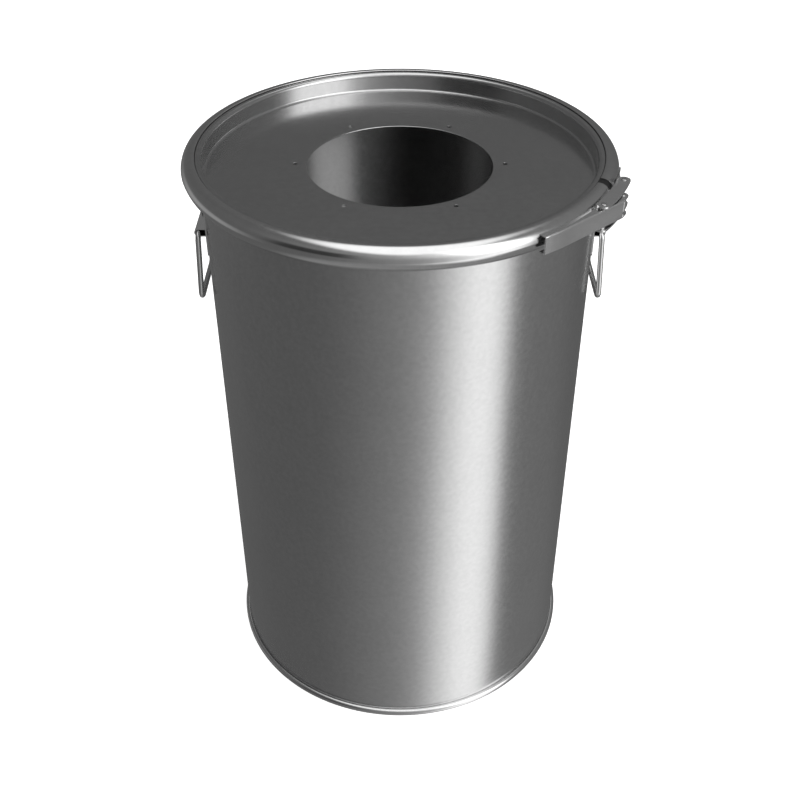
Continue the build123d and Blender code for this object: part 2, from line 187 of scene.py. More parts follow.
core = window((strip_turn, radians(CORE_START), radians(CORE_FULL)), (elevation, *CORE_HEIGHTS))
light = laid_over(room, CORE_LEVEL, core)

# A paler stretch of wall at the left and a little behind the drum.
REAR_LEVEL = 0.34
rear = wall_window(middle=158.0, half_width=46.0, core=0.2, foot=(-0.46, -0.26), head=(0.10, -0.10))
light = laid_over(light, REAR_LEVEL, rear)

# The dark flag at the front left, which lets a little of the room through.
FLAG_LEVEL, FLAG_COVER = 0.025, 0.86
flag = wall_window(middle=-134.0, half_width=30.0, core=0.4, foot=(-0.12, 0.10), head=(0.62, 0.42))
covered = add(sky, "ShaderNodeMath", {"operation": "MULTIPLY", "1": FLAG_COVER}, _0=flag)
light = laid_over(light, FLAG_LEVEL, covered)

# The overhead light is a soft-edged oval near straight up, sized by the length of the direction's plan.
# That length is small straight down too, so the light is kept above its foot.
OVERHEAD_LEVEL, OVERHEAD_CENTRE, OVERHEAD_SQUEEZE = 1.4, (0.03, 0.02, 0.0), (1.62, 1.0, 0.0)
OVERHEAD_START, OVERHEAD_FULL, OVERHEAD_FOOT = 0.793, 0.481, 0.2
beside = add(sky, "ShaderNodeVectorMath", {"operation": "SUBTRACT", "1": OVERHEAD_CENTRE}, _0=direction)
squeezed = add(sky, "ShaderNodeVectorMath", {"operation": "MULTIPLY", "1": OVERHEAD_SQUEEZE}, _0=beside)
aside = add(sky, "ShaderNodeVectorMath", {"operation": "LENGTH"}, _0=squeezed).outputs["Value"]
upward = add(sky, "ShaderNodeMath", {"operation": "GREATER_THAN", "1": OVERHEAD_FOOT}, _0=elevation)
overhead = add(sky, "ShaderNodeMath", {"operation": "MULTIPLY"},
               _0=window((aside, OVERHEAD_START, OVERHEAD_FULL)), _1=upward)
light = laid_over(light, OVERHEAD_LEVEL, overhead)

# What the metal sees straight below, in place of the floor, and a white backdrop that only the camera sees.
BACKDROP_LEVEL, BELOW_LEVEL, BELOW_HEIGHTS = 0.985, 0.27, (-0.82, -0.94)
light = laid_over(light, BELOW_LEVEL, window((elevation, *BELOW_HEIGHTS)))
light = laid_over(light, BACKDROP_LEVEL, add(sky, "ShaderNodeLightPath").outputs["Is Camera Ray"])
shine = add(sky, "ShaderNodeBackground", {"Strength": LIGHT_SCALE}, Color=light)
add(sky, "ShaderNodeOutputWorld", Surface=shine)

# ---- Body ----
# A sheet of 1 mm stainless rolled to a cylinder and butt welded. The sheet has the cloudy satin of a mill
# finish, with faint lines round the drum from the rolls, and straw and blue heat tint beside its weld.
DRUM_STEPS = 512
BODY_SHEET = 1.0 * MM
body_low, body_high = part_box("drum_shell")
body_radius = body_high.x


def linear(hex_colour):
    """Linear RGBA of an sRGB hex colour."""
    channels = [int(hex_colour[i:i + 2], 16) / 255 for i in (1, 3, 5)]
    curve = [c / 12.92 if c <= 0.04045 else ((c + 0.055) / 1.055) ** 2.4 for c in channels]
    return (*curve, 1.0)


def arc(centre, radius, start, end, steps):
    """Points at equal angles, in degrees, on a circle: centre + radius * (cos, sin)."""
    angle = np.radians(np.linspace(start, end, steps + 1))[:, None]
    return np.array(centre) + radius * np.hstack([np.cos(angle), np.sin(angle)])


END_STEPS = 4


def bent_sheet(middle, thickness, end_steps=END_STEPS):
    """Outline of a bent sheet in section: its middle line moved half the sheet to each side along the
    normal, closed by half-round ends, or square ones for 0 steps. Point i faces point -1 - i across it."""
    keep = np.append(True, np.linalg.norm(np.diff(middle, axis=0), axis=1) > 1e-7)
    middle = middle[keep]
    along = np.gradient(middle, axis=0)
    along /= np.linalg.norm(along, axis=1)[:, None]
    side = np.stack([-along[:, 1], along[:, 0]], axis=1) * thickness / 2
    angle = (np.arange(end_steps) + 0.5)[:, None] * pi / (2 * max(end_steps, 1))
    first = middle[0] - along[0] * thickness / 2 * np.cos(angle)
    last = middle[-1] + along[-1] * thickness / 2 * np.cos(angle[::-1])
    left = [first + side[0] * np.sin(angle), middle + side, last + side[-1] * np.sin(angle[::-1])]
    right = [first - side[0] * np.sin(angle), middle - side, last - side[-1] * np.sin(angle[::-1])]
    return np.vstack([*left, np.vstack(right)[::-1]])


def wrapped(radius, angle, height):
    """Points at a radius, azimuth in radians and height, for arrays that broadcast together."""
    return np.stack(np.broadcast_arrays(radius * np.cos(angle), radius * np.sin(angle), height), axis=2)


def lathe(outline, start=0.0, turn=360.0, steps=DRUM_STEPS):
    """Grid of an outline of (radius, height) turned about the drum's axis: (r cos a, r sin a, h)."""
    angle = np.radians(start + turn * np.arange(steps + (turn < 360)) / steps)[:, None]
    return wrapped(outline[:, 0], angle, outline[:, 1])


def quads(rows, columns, wrap_rows, wrap_columns):
    """Vertex numbers of a grid's four-sided faces, joined round where it wraps."""
    row = np.arange(rows if wrap_rows else rows - 1)[:, None]
    column = np.arange(columns if wrap_columns else columns - 1)[None, :]
    next_row, next_column = (row + 1) % rows, (column + 1) % columns
    corners = [row * columns + column, row * columns + next_column, next_row * columns + next_column,
               next_row * columns + column]
    return np.stack(np.broadcast_arrays(*corners), axis=2).reshape(-1, 4)


def surface(name, grids, crease=35.0):
    """Object from grids of points, each given as (grid, wraps along rows, wraps along columns, capped); caps
    join point i of the first and last rows to point -1 - i. Shared edges and poles are merged, normals
    turned outward, and edges over the crease angle, in degrees, kept sharp."""
    points, faces, first = [], [], 0
    for grid, wrap_rows, wrap_columns, capped in grids:
        rows, columns = grid.shape[:2]
        points.append(grid.reshape(-1, 3))
        faces.append(first + quads(rows, columns, wrap_rows, wrap_columns))
        if capped:
            near = np.arange(columns // 2 - 1)
            cap = np.stack([near, near + 1, columns - 2 - near, columns - 1 - near], axis=1)
            faces.append(first + cap)
            faces.append(first + (rows - 1) * columns + cap[:, ::-1])
        first += rows * columns
    mesh = bpy.data.meshes.new(name)
    mesh.from_pydata(np.vstack(points), [], np.vstack(faces))
    shape = bmesh.new()
    shape.from_mesh(mesh)
    bmesh.ops.remove_doubles(shape, verts=shape.verts, dist=2e-6)
    bmesh.ops.recalc_face_normals(shape, faces=shape.faces)
    shape.to_mesh(mesh)
    shape.free()
    mesh.polygons.foreach_set("use_smooth", np.ones(len(mesh.polygons), bool))
    mesh.set_sharp_from_angle(angle=radians(crease))
    piece = bpy.data.objects.new(name, mesh)
    scene.collection.objects.link(piece)
    return piece


def fit(piece, node, finish, body="drum"):
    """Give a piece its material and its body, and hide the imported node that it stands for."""
    piece.data.materials.clear()
    piece.data.materials.append(finish)
    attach(piece, body)
    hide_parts(node)


def heat_tinted(tree, at, broad, base):
    """Colour of the steel with straw and blue bands where the outside is near the seam: the base times a
    ramp of the distance from the seam, plus some of the broad clouds so that the bands wander."""
    sideways, outward = (-sin(seam_turn), cos(seam_turn), 0.0), (cos(seam_turn), sin(seam_turn), 0.0)
    aside = add(tree, "ShaderNodeVectorMath", {"operation": "DOT_PRODUCT", "1": sideways}, _0=at)
    offset = add(tree, "ShaderNodeMath", {"operation": "ABSOLUTE"}, _0=aside.outputs["Value"])
    heat = add(tree, "ShaderNodeMath", {"operation": "DIVIDE", "1": TINT_REACH}, _0=offset)
    wander = add(tree, "ShaderNodeMath", {"operation": "MULTIPLY_ADD", "1": 0.35}, _0=broad, _2=heat)
    band = add(tree, "ShaderNodeValToRGB", _0=wander)
    while len(band.color_ramp.elements) < len(TINT_HUES):
        band.color_ramp.elements.new(0.5)
    for stop, (position, hue) in zip(band.color_ramp.elements, TINT_HUES):
        stop.position = position
        stop.color = linear(hue)
    facing = add(tree, "ShaderNodeVectorMath", {"operation": "DOT_PRODUCT", "1": outward}, _0=at)
    outside = add(tree, "ShaderNodeMath", {"operation": "GREATER_THAN", "1": body_radius - TINT_DEPTH},
                  _0=facing.outputs["Value"])
    return add(tree, "ShaderNodeMix", {"data_type": "RGBA", "blend_type": "MULTIPLY"},
               Factor=outside, _6=base, _7=band).outputs[2]


def steel(name, colour, roughness, blotch, blotch_depth, line, line_depth, peel, tinted=False):
    """Bare stainless: cloudy blotches (mm across) in tint and gloss, fine lines (mm apart) drawn round the
    drum, and an orange peel (micrometres deep). tinted adds the heat colours beside the body's weld."""
    material = bpy.data.materials.new(name)
    material.use_nodes = True
    tree = material.node_tree
    shader = tree.nodes["Principled BSDF"]
    shader.inputs["Metallic"].default_value = 1.0
    at = add(tree, "ShaderNodeTexCoord").outputs["Object"]
    fine = {"Scale": 1000 / blotch, "Detail": 3.0, "Roughness": 0.55}
    cloud = add(tree, "ShaderNodeTexNoise", fine, Vector=at).outputs["Fac"]
    broad = add(tree, "ShaderNodeTexNoise", {"Scale": 1000 / (blotch * 9), "Detail": 2.0}, Vector=at)
    mixed = add(tree, "ShaderNodeMath", {"operation": "MULTIPLY_ADD", "1": 0.35},
                _0=broad.outputs["Fac"], _2=cloud)
    dark = tuple(channel * (1 - 2 * blotch_depth) for channel in linear(colour)[:3]) + (1.0,)
    tint = add(tree, "ShaderNodeValToRGB", _0=mixed)
    tint.color_ramp.elements[0].position, tint.color_ramp.elements[1].position = 0.45, 0.90
    tint.color_ramp.elements[0].color, tint.color_ramp.elements[1].color = dark, linear(colour)
    colour_out = heat_tinted(tree, at, broad.outputs["Fac"], tint) if tinted else tint.outputs["Color"]
    tree.links.new(colour_out, shader.inputs["Base Color"])

    # The lines are noise over the radius and the height, so they run round the drum on every face.
    plan = add(tree, "ShaderNodeVectorMath", {"operation": "MULTIPLY", "1": (1.0, 1.0, 0.0)}, _0=at)
    radius = add(tree, "ShaderNodeVectorMath", {"operation": "LENGTH"}, _0=plan).outputs["Value"]
    height = add(tree, "ShaderNodeSeparateXYZ", _0=at).outputs["Z"]
    across = add(tree, "ShaderNodeCombineXYZ", _0=radius, _1=height)
    drawn = {"noise_dimensions": "2D", "Scale": 1000 / line, "Detail": 4.0}
    lines = add(tree, "ShaderNodeTexNoise", drawn, Vector=across).outputs["Fac"]
    gloss = add(tree, "ShaderNodeMath", {"operation": "MULTIPLY_ADD", "1": 0.06, "2": roughness - 0.04},
                _0=mixed)
    lined = add(tree, "ShaderNodeMath", {"operation": "MULTIPLY_ADD", "1": line_depth}, _0=lines, _2=gloss)
    tree.links.new(lined.outputs[0], shader.inputs["Roughness"])
    bump = add(tree, "ShaderNodeBump", {"Strength": 1.0, "Distance": peel * 1e-6}, Height=cloud)
    tree.links.new(bump.outputs[0], shader.inputs["Normal"])
    return material


TINT_REACH, TINT_DEPTH = 11 * MM, 0.45 * MM
TINT_HUES = ((0.20, "#EDEAE4"), (0.38, "#D9DDE8"), (0.55, "#E8DABC"), (0.78, "#F6F2E8"), (1.0, "#FFFFFF"))
seam_low, seam_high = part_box("side_seam_weld")
seam_turn = atan2(seam_low.y + seam_high.y, seam_low.x + seam_high.x)
body_steel = steel("mill_finish_stainless_sheet", "#D0D0D0", 0.19, blotch=6.0, blotch_depth=0.045,
                   line=0.7, line_depth=0.03, peel=5, tinted=True)

wall = np.stack([np.full(25, body_radius - BODY_SHEET / 2), np.linspace(body_low.z, body_high.z, 25)], axis=1)
shell = surface("drum_body", [(lathe(bent_sheet(wall, BODY_SHEET, end_steps=0)), True, True, False)])
fit(shell, "drum_shell", body_steel)

# ---- Side seam weld ----
# A butt weld down the back of the body, laid by machine: a low bead of overlapping ripples, brushed clean,
# which leaves it duller than the sheet.
SEAM_HALF_WIDTH, SEAM_HEIGHT, RIPPLE = 1.5 * MM, 0.3 * MM, 1.6 * MM


def ripple_bead(length, height, ripple, along_steps, across_steps, lean=0.3, depth=0.28):
    """Height of a weld bead: half a cosine across it, times 1 less a saw-like ripple along it whose fronts
    curve forward in the middle, times a rise over two ripples from each end. Returns the two parameters,
    from 0 to 1 along it and -1 to 1 across it, and the height."""
    along = np.linspace(0, 1, along_steps)[:, None]
    across = np.linspace(-1, 1, across_steps)[None, :]
    phase = along * length / ripple + lean * across ** 2
    wave = 1 - depth * (phase % 1.0) ** 2
    ends = np.clip(np.minimum(along, 1 - along) * length / (2 * ripple), 0, 1) ** 0.5
    return along, across, height * wave * ends * np.cos(across * pi / 2) ** 0.7


seam_length = seam_high.z - seam_low.z
along, across, rise = ripple_bead(seam_length, SEAM_HEIGHT, RIPPLE, int(4 * seam_length / RIPPLE), 9)
seam_angle = seam_turn - across * SEAM_HALF_WIDTH / body_radius
seam_front = wrapped(body_radius + rise, seam_angle, seam_low.z + along * seam_length)
seam_back = wrapped(body_radius, seam_angle, seam_low.z + along * seam_length)[:, ::-1]
seam = surface("body_seam_weld", [(np.concatenate([seam_front, seam_back], axis=1), False, True, True)])
weld_steel = steel("brushed_stainless_weld", "#BFBEBC", 0.33, blotch=3.0, blotch_depth=0.08,
                   line=0.5, line_depth=0.05, peel=6)
fit(seam, "side_seam_weld", weld_steel)

# ---- Mouth bead ----
# The body's top edge, rolled outward into a hollow bead for the clamp ring to hook under. The rolls leave it
# brighter than the sheet, with fine lines round it.
bead_low, bead_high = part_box("mouth_bead")
BEAD_RADIUS = 9.0 * MM
bead_rho = bead_high.x - BEAD_RADIUS
bead_height = bead_high.z - BEAD_RADIUS
bead_middle = np.vstack([
    [[body_radius - BODY_SHEET / 2, bead_low.z]],
    arc((bead_rho, bead_height), BEAD_RADIUS - BODY_SHEET / 2, 180, -170, 48),
])
bead_outline = bent_sheet(bead_middle, BODY_SHEET, end_steps=3)
bead = surface("mouth_bead_roll", [(lathe(bead_outline), True, True, False)])
rolled_steel = steel("bright_rolled_stainless", "#DCDCDC", 0.15, blotch=7.0, blotch_depth=0.03,
                     line=0.6, line_depth=0.02, peel=2)
fit(bead, "mouth_bead", rolled_steel)

# ---- Base and chime ----
# The bottom is a pressed pan whose flange stands inside the body. A rolled hoop, the chime, grips both edges
# and is what the drum stands on; sealing compound fills the foot of its slot.
BASE_SHEET, BASE_CORNER = 1.0 * MM, 3.5 * MM
base_low, base_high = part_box("drum_base")
base_middle_height = base_high.z - BASE_SHEET / 2
flange_rho = base_high.x - BASE_SHEET / 2
base_middle = np.vstack([
    np.stack([np.linspace(0, flange_rho - BASE_CORNER, 24), np.full(24, base_middle_height)], axis=1),
    arc((flange_rho - BASE_CORNER, base_middle_height - BASE_CORNER), BASE_CORNER, 90, 0, 8),
    [[flange_rho, base_low.z]],
])
base_outline = bent_sheet(base_middle, BASE_SHEET, end_steps=0)
base_outline[[0, -1], 0] = 0.0
base = surface("drum_bottom", [(lathe(base_outline), True, False, False)])
fit(base, "drum_base", body_steel)

CHIME_WIDTH, CHIME_ROUND, SLOT_FLOOR, GROOVE = 10.0 * MM, 4.2 * MM, 1.5 * MM, 0.9 * MM
chime_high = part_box("base_chime")[1]
outer_rho, chime_top = chime_high.x, chime_high.z
inner_rho = outer_rho - CHIME_WIDTH
slot_inner, slot_outer = body_radius - BODY_SHEET - BASE_SHEET, body_radius
round_out, round_in = outer_rho - CHIME_ROUND, inner_rho + CHIME_ROUND
inner_meet = 180 - np.degrees(np.arccos((round_in - slot_inner) / CHIME_ROUND))
chime_outline = np.vstack([
    [[slot_inner, SLOT_FLOOR], [slot_outer, SLOT_FLOOR]],
    arc((slot_outer + GROOVE, chime_top - GROOVE), GROOVE, 180, 96, 6),
    arc((round_out, chime_top - CHIME_ROUND), CHIME_ROUND, 92, 0, 14),
    arc((round_out, CHIME_ROUND), CHIME_ROUND, 0, -90, 14),
    arc((round_in, CHIME_ROUND), CHIME_ROUND, -90, -180, 14),
    arc((round_in, chime_top - CHIME_ROUND), CHIME_ROUND, 180, inner_meet, 10),
])
chime = surface("bottom_chime", [(lathe(chime_outline), True, True, False)])
fit(chime, "base_chime", rolled_steel)

SEALANT_LUMP, SEALANT_LUMP_DEPTH = 2.0 * MM, 0.1 * MM
sealing = bpy.data.materials.new("cured_grey_sealing_compound")
sealing.use_nodes = True
tree = sealing.node_tree
shader = tree.nodes["Principled BSDF"]
at = add(tree, "ShaderNodeTexCoord").outputs["Object"]
lumps = add(tree, "ShaderNodeTexNoise", {"Scale": 1 / SEALANT_LUMP, "Detail": 3.0}, Vector=at).outputs["Fac"]
grey = add(tree, "ShaderNodeValToRGB", _0=lumps)
grey.color_ramp.elements[0].color, grey.color_ramp.elements[1].color = linear("#77766F"), linear("#94938C")
tree.links.new(grey.outputs["Color"], shader.inputs["Base Color"])
lump_bump = add(tree, "ShaderNodeBump", {"Strength": 0.6, "Distance": SEALANT_LUMP_DEPTH}, Height=lumps)
tree.links.new(lump_bump.outputs[0], shader.inputs["Normal"])
shader.inputs["Roughness"].default_value = 0.6
nodes["chime_sealant"].data.materials.clear()
nodes["chime_sealant"].data.materials.append(sealing)

# ---- Lid ----
# A pressing of 1.2 mm stainless: a sunk panel with a large round opening and six small holes round it, a
# wall, a shoulder, and a rim curled down over the bead. Cut edges are deburred to a small round, and the
# press leaves the satin smooth, so that the flat panel shows broad, even tones.
LID_SHEET, LID_CORNER, LID_SHOULDER, DEBURR = 1.2 * MM, 3.6 * MM, 3.9 * MM, 0.25 * MM
LID_STEPS = 384
RIM_RHO, RIM_CURL, RIM_TO_WALL = 231.7 * MM, 10.9 * MM, 9.9 * MM
OPENING_RADIUS, HOLE_CIRCLE, HOLE_RADIUS, HOLE_COUNT = 105.5 * MM, 119.5 * MM, 2.5 * MM, 6
lid_low, lid_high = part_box("lid")
panel_top = lid_low.z + LID_SHEET
panel_middle = lid_low.z + LID_SHEET / 2
wall_rho = RIM_RHO - RIM_TO_WALL
corner_at = (wall_rho - LID_CORNER, panel_middle + LID_CORNER)
shoulder_at = (wall_rho + LID_SHOULDER, lid_high.z - LID_SHEET / 2 - LID_SHOULDER)
rim_at = (RIM_RHO, lid_high.z - LID_SHEET / 2 - RIM_CURL)

# Cells round the lid are square near the holes; eight cells each way are left out for a hole's own patch.
PATCH_CELLS = 8
cell = 2 * pi * HOLE_CIRCLE / LID_STEPS
annulus = HOLE_CIRCLE + cell * (np.arange(PATCH_CELLS + 1) - PATCH_CELLS / 2)
outer_middle = np.vstack([
    [[annulus[-1], panel_middle]],
    np.stack([np.linspace(annulus[-1], corner_at[0], 14)[1:-1], np.full(12, panel_middle)], axis=1),
    arc(corner_at, LID_CORNER, 270, 360, 10),
    arc(shoulder_at, LID_SHOULDER, 180, 90, 12),
    arc(rim_at, RIM_CURL, 90, 5, 24),
])
inner_middle = np.array([[annulus[0], panel_middle], [OPENING_RADIUS + LID_SHEET / 2, panel_middle]])
# The ends that face the holes' patches are left open; the rim's and the opening's ends stay half round.
lid_grids = []
for middle in (outer_middle, inner_middle):
    outline = bent_sheet(middle, LID_SHEET)[END_STEPS:-END_STEPS]
    lid_grids.append((lathe(outline, steps=LID_STEPS), True, False, False))


def ring_point(radius, turn):
    """Plan point at a radius and an azimuth in radians, stacked in the last axis."""
    return np.stack([radius * np.cos(turn), radius * np.sin(turn)], axis=-1)


# Between two holes the panel keeps its square cells; its top and its underside are the same grid.
columns_between = LID_STEPS // HOLE_COUNT
step = 2 * pi / LID_STEPS
for index in range(HOLE_COUNT):
    middle_turn = 2 * pi * index / HOLE_COUNT
    plain = middle_turn + step * np.arange(PATCH_CELLS // 2, columns_between - PATCH_CELLS // 2 + 1)[:, None]
    plan = ring_point(annulus[None, :], plain)
    for height in (panel_top, lid_low.z):
        level = np.full(plan.shape[:2] + (1,), height)
        lid_grids.append((np.concatenate([plan, level], axis=2), False, False, False))
    # The patch runs from the square of cells in to the hole, down its deburred wall, and out again below.
    span = np.arange(PATCH_CELLS + 1) - PATCH_CELLS / 2
    edge = np.full(PATCH_CELLS, PATCH_CELLS / 2)
    square = np.vstack([
        np.stack([span[:-1], -edge], axis=1), np.stack([edge, span[:-1]], axis=1),
        np.stack([span[:0:-1], edge], axis=1), np.stack([-edge, span[:0:-1]], axis=1),
    ])
    border = ring_point(HOLE_CIRCLE + cell * square[:, 0], middle_turn + step * square[:, 1])
    centre = ring_point(np.array(HOLE_CIRCLE), np.array(middle_turn))
    outward = border - centre
    outward /= np.linalg.norm(outward, axis=1)[:, None]
    bevel = np.radians(np.linspace(0, 90, 5))
    rims = [(HOLE_RADIUS + DEBURR * (1 - np.sin(a)), panel_top - DEBURR * (1 - np.cos(a))) for a in bevel]
    rims += [(r, lid_low.z + panel_top - z) for r, z in rims[::-1]]
    hole_edge = centre + outward * rims[0][0]
    closing_in = [border + share * (hole_edge - border) for share in np.linspace(0, 0.85, 5)]
    loops = [(loop, panel_top) for loop in closing_in]
    loops += [(centre + outward * radius, height) for radius, height in rims]
    loops += [(loop, lid_low.z) for loop in closing_in[::-1]]
    patch = [np.hstack([loop, np.full((len(loop), 1), height)]) for loop, height in loops]
    lid_grids.append((np.stack(patch), False, True, False))
lid = surface("drum_lid", lid_grids)
lid_steel = steel("satin_pressed_stainless_lid", "#CACACA", 0.18, blotch=6.5, blotch_depth=0.04,
                  line=0.8, line_depth=0.02, peel=0.6)
fit(lid, "lid", lid_steel)

# ---- Gasket ----
# A matt black rubber moulding that is stretched over the lid's rim: its pad seals on the bead. Its thin outer
# lip, which lines the clamp ring, is painted shade: a dark sheet that stands for the shadow in the ring's gap
# and under the ring's lip. It shows only there, as a black gap and a dark line inside the ring's lip.
RUBBER_GRAIN, RUBBER_GRAIN_DEPTH = 0.8 * MM, 0.04 * MM
rubber = bpy.data.materials.new("black_moulded_epdm_rubber")
rubber.use_nodes = True
tree = rubber.node_tree
shader = tree.nodes["Principled BSDF"]
at = add(tree, "ShaderNodeTexCoord").outputs["Object"]
grain = add(tree, "ShaderNodeTexNoise", {"Scale": 1 / RUBBER_GRAIN, "Detail": 3.0}, Vector=at).outputs["Fac"]
black = add(tree, "ShaderNodeValToRGB", _0=grain)
black.color_ramp.elements[0].color, black.color_ramp.elements[1].color = linear("#0E0E0E"), linear("#1A1A1A")
tree.links.new(black.outputs["Color"], shader.inputs["Base Color"])
grain_bump = add(tree, "ShaderNodeBump", {"Strength": 0.5, "Distance": RUBBER_GRAIN_DEPTH}, Height=grain)
tree.links.new(grain_bump.outputs[0], shader.inputs["Normal"])
shader.inputs["Roughness"].default_value = 0.75
SHADE_LIP_THICKNESS, SHADE_LIP_REACH, SHADE_LIP_CLEAR = 0.12 * MM, 3.4 * MM, 0.03 * MM
GASKET_INSET, GASKET_OUTSET = 6.5 * MM, 5.5 * MM
curl_inner, curl_outer = RIM_CURL - LID_SHEET / 2, RIM_CURL + LID_SHEET / 2
gasket_rho = np.linspace(bead_rho - GASKET_INSET, bead_rho + GASKET_OUTSET, 24)
over = rim_at[1] + np.sqrt(curl_inner ** 2 - (gasket_rho - RIM_RHO) ** 2)
under = bead_height + np.sqrt(BEAD_RADIUS ** 2 - (gasket_rho - bead_rho) ** 2)
pad = np.vstack([np.stack([gasket_rho, over], axis=1), np.stack([gasket_rho, under], axis=1)[::-1]])
# The lip runs in under the ring's lip and round over the curl. It is a dark sheet put there as painted shade,
# where there is only shadow.
shade_lip_middle = curl_outer + SHADE_LIP_THICKNESS / 2 + SHADE_LIP_CLEAR
lip = bent_sheet(np.vstack([
    [[RIM_RHO - SHADE_LIP_REACH, rim_at[1] + shade_lip_middle]],
    arc(rim_at, shade_lip_middle, 90, -2, 40),
]), SHADE_LIP_THICKNESS, end_steps=0)
gasket = surface("rim_gasket_and_shade_lip", [(lathe(pad), True, True, False), (lathe(lip), True, True, False)])
fit(gasket, "lid_gasket", rubber)

# ---- Clamp ring ----
# A roll-formed C of 1.5 mm stainless, open at its gap. It hooks under the bead and its lip presses the lid's
# rim down. The lower flank is flatter than the crown, as the forming rolls leave it.
RING_SHEET, RING_ARC, HOOK_LENGTH = 1.5 * MM, 13.3 * MM, 7.4 * MM
RING_LIP, RING_FLANK, RING_HOOK = 98.6, 2.0, -60.0  # angles on the arc where its lip, flank and hook start
FLATTEN_OUTSIDE, FLATTEN_INSIDE = 0.5, 0.12
ring_at = (RIM_RHO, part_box("clamp_ring")[1].z - RING_ARC)


def vertices(node):
    """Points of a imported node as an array, for sizes that its box doesn't give."""
    mesh = nodes[node].data
    flat = np.empty(len(mesh.vertices) * 3, np.float32)
    mesh.vertices.foreach_get("co", flat)
    return flat.reshape(-1, 3).astype(float)


def turns_of(node):
    """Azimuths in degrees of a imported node's points, between -180 and 180."""
    spots = vertices(node)
    return np.degrees(np.arctan2(spots[:, 1], spots[:, 0]))


# The gap lies between the welds of the closure's two straps.
ring_turns = turns_of("clamp_ring")
closure_turn = (turns_of("fulcrum_bracket_welds").max() + turns_of("catch_bracket_welds").min()) / 2
gap_low = ring_turns[ring_turns < closure_turn].max()
gap_high = ring_turns[ring_turns > closure_turn].min()

hook_down = np.array([sin(radians(RING_HOOK)), -cos(radians(RING_HOOK))])


def ring_side(radius, flatten, steps=64):
    """One face of the ring in section: an arc from lip to hook, its flank drawn towards its chord by the
    given share, then the straight hook."""
    bend = arc(ring_at, radius, RING_LIP, RING_HOOK, steps)
    angle = np.linspace(RING_LIP, RING_HOOK, steps + 1)[:, None]
    along = np.clip((RING_FLANK - angle) / (RING_FLANK - RING_HOOK), 0, 1)
    chord = arc(ring_at, radius, RING_FLANK, RING_FLANK, 0) * (1 - along) + bend[-1] * along
    bend = np.where(angle < RING_FLANK, bend + flatten * (chord - bend), bend)
    return np.vstack([bend, bend[-1] + hook_down * HOOK_LENGTH * np.linspace(0.2, 1, 5)[:, None]])


outside = ring_side(RING_ARC, FLATTEN_OUTSIDE)
inside = ring_side(RING_ARC - RING_SHEET, FLATTEN_INSIDE)
lip_round = arc((outside[0] + inside[0]) / 2, RING_SHEET / 2, RING_LIP, RING_LIP + 180, 8)[1:-1]
hook_round = arc((outside[-1] + inside[-1]) / 2, RING_SHEET / 2, RING_HOOK, RING_HOOK - 180, 8)[1:-1]
ring_outline = np.vstack([outside, hook_round, inside[::-1], lip_round[::-1]])
ring_outline = np.roll(ring_outline, len(lip_round) // 2, axis=0)
ring_grid = lathe(ring_outline, gap_high, 360 - (gap_high - gap_low))
ring = surface("lever_clamp_ring", [(ring_grid, False, True, True)])
fit(ring, "clamp_ring", rolled_steel)

# ---- Closure ----
# Pressed stainless parts: straps welded to the ring's ends, an over-centre lever and a yoke link. Their cut
# edges and bends are tumbled to small rounds, and the tumbling leaves a close, even satin.
closure_steel = steel("tumbled_stainless_pressing", "#EEEEEE", 0.24, blotch=5.0, blotch_depth=0.02,
                      line=0.9, line_depth=0.01, peel=1)


def softened(name, node, edge_round, bend_round=0.0, is_bend=None, segments=3, corner=32.0):
    """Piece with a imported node's own shape, its triangles joined into whole faces and its edges rounded: the
    folds of the sheet, which is_bend picks, by bend_round, and all edges sharper than corner, in degrees, by
    edge_round."""
    mesh = nodes[node].data.copy()
    mesh.name = name
    shape = bmesh.new()
    shape.from_mesh(mesh)
    bmesh.ops.remove_doubles(shape, verts=shape.verts, dist=1e-6)
    bmesh.ops.dissolve_limit(shape, angle_limit=radians(0.6), verts=shape.verts, edges=shape.edges)
    bends = [edge for edge in shape.edges if is_bend and len(edge.link_faces) == 2 and is_bend(edge)]
    bmesh.ops.bevel(shape, geom=bends, offset=bend_round, offset_type="OFFSET", segments=5, profile=0.5,
                    affect="EDGES", clamp_overlap=True)
    weight = shape.edges.layers.float.new("bevel_weight_edge")
    for edge in shape.edges:
        if len(edge.link_faces) == 2 and edge.calc_face_angle() > radians(corner):
            edge[weight] = 1.0
    shape.to_mesh(mesh)
    shape.free()
    mesh.polygons.foreach_set("use_smooth", np.ones(len(mesh.polygons), bool))
    piece = bpy.data.objects.new(name, mesh)
    scene.collection.objects.link(piece)
    bevel = piece.modifiers.new("rounded_edges", "BEVEL")
    bevel.width = edge_round
    bevel.segments = segments
    bevel.limit_method = "WEIGHT"
    normals = piece.modifiers.new("flat_faces", "WEIGHTED_NORMAL")
    normals.keep_sharp = False
    normals.weight = 90
    return piece


WEB_HEIGHT, LEAST_LEVEL, LEAST_OUTWARD = 15.0 * MM, 0.9, 0.15


def at_web(edge):
    """Whether an edge is where a level flange folds into a tall upright web that faces away from the drum."""
    flat, upright = sorted(edge.link_faces, key=lambda face: -abs(face.normal.z))
    spot = upright.calc_center_median()
    outward = (upright.normal.x * spot.x + upright.normal.y * spot.y) / spot.length
    heights = [corner.co.z for corner in upright.verts]
    tall = max(heights) - min(heights) > WEB_HEIGHT
    return tall and abs(flat.normal.z) > LEAST_LEVEL and outward > LEAST_OUTWARD


for name, node, body, edge_round, bend_round in (
    ("fulcrum_strap", "fulcrum_bracket", "drum", 0.3 * MM, 0.3 * MM),
    ("catch_strap", "catch_bracket", "drum", 0.3 * MM, 0.3 * MM),
    ("over_centre_lever", "closure_lever", "lever", 0.25 * MM, 2.2 * MM),
    ("yoke_link", "closure_link", "link", 0.35 * MM, 0.35 * MM),
):
    fit(softened(name, node, edge_round, bend_round, at_web), node, closure_steel, body)

